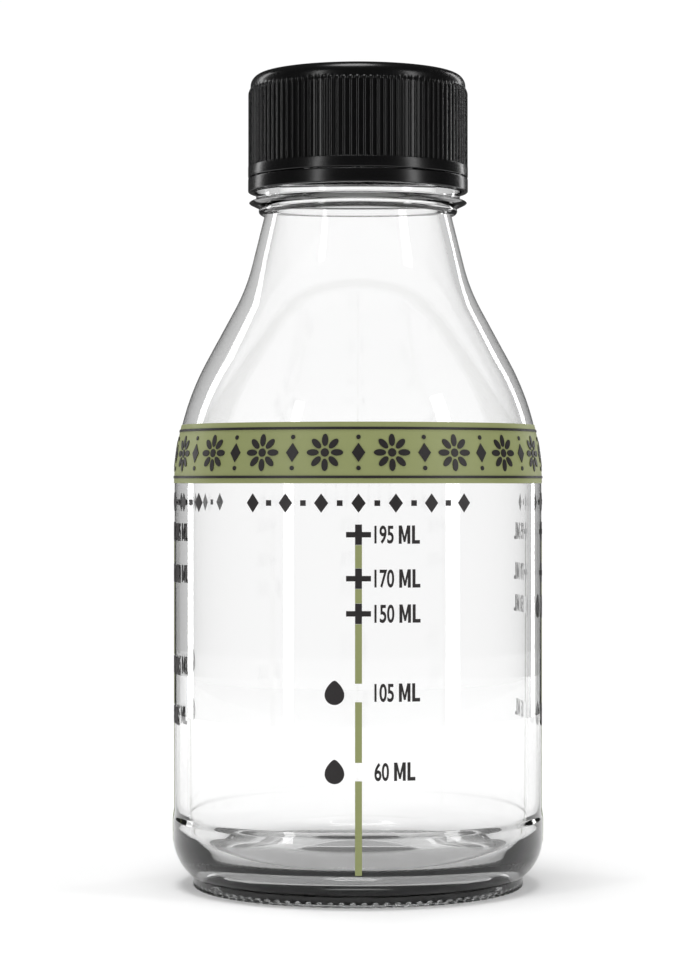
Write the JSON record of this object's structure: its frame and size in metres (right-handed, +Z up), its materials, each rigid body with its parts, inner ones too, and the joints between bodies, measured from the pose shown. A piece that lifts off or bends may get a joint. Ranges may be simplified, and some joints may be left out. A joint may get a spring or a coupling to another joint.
{
  "type": "dressing shaker bottle",
  "caption": "Clear glass shaker bottle with a flared neck, printed fill gauge, green printed band and a black ribbed screw cap with a liner and tamper ring.",
  "frame": {"origin": "centre of the foot on the surface that the bottle stands on", "axes": "+Z up along the bottle's axis, the main gauge faces -Y, +X to the right when it is read"},
  "size_m": [0.0698, 0.0696, 0.1523],
  "materials": {
    "clear_glass": "clear flint glass, fire-polished, faint grey at the edges",
    "black_plastic": "satin moulded polypropylene",
    "liner_foam": "matt foamed polyethylene",
    "green_ink": "fired screen print, olive green, slight sheen",
    "dark_ink": "fired screen print, near black, slight sheen"
  },
  "bodies": {
    "bottle": {"glass_body": "clear_glass", "glass_finish": "clear_glass", "band_print": "green_ink", "band_rosettes": "dark_ink", "gauge_lines": "green_ink", "gauge_crosses": "dark_ink", "gauge_drops": "dark_ink", "heading_rules": "dark_ink"},
    "liner": {"cap_liner": "liner_foam"},
    "cap": {"cap_shell": "black_plastic"},
    "ring": {"tamper_ring": "black_plastic"}
  },
  "joints": [
    {"name": "cap_lift", "type": "slide", "parent": "bottle", "child": "liner", "axis": [0, 0, 1], "range_m": [0, 0.01905]},
    {"name": "cap_turn", "type": "hinge", "parent": "liner", "child": "cap", "pos_m": [0, 0, 0.1498], "axis": [0, 0, 1], "range_deg": [0, 1620]},
    {"name": "ring_turn", "type": "hinge", "parent": "bottle", "child": "ring", "pos_m": [0, 0, 0.1315], "axis": [0, 0, 1], "continuous": true}
  ],
  "couplings": [
    {"joint": "cap_lift", "follows": "cap_turn", "m_per_rad": 0.0006737}
  ]
}
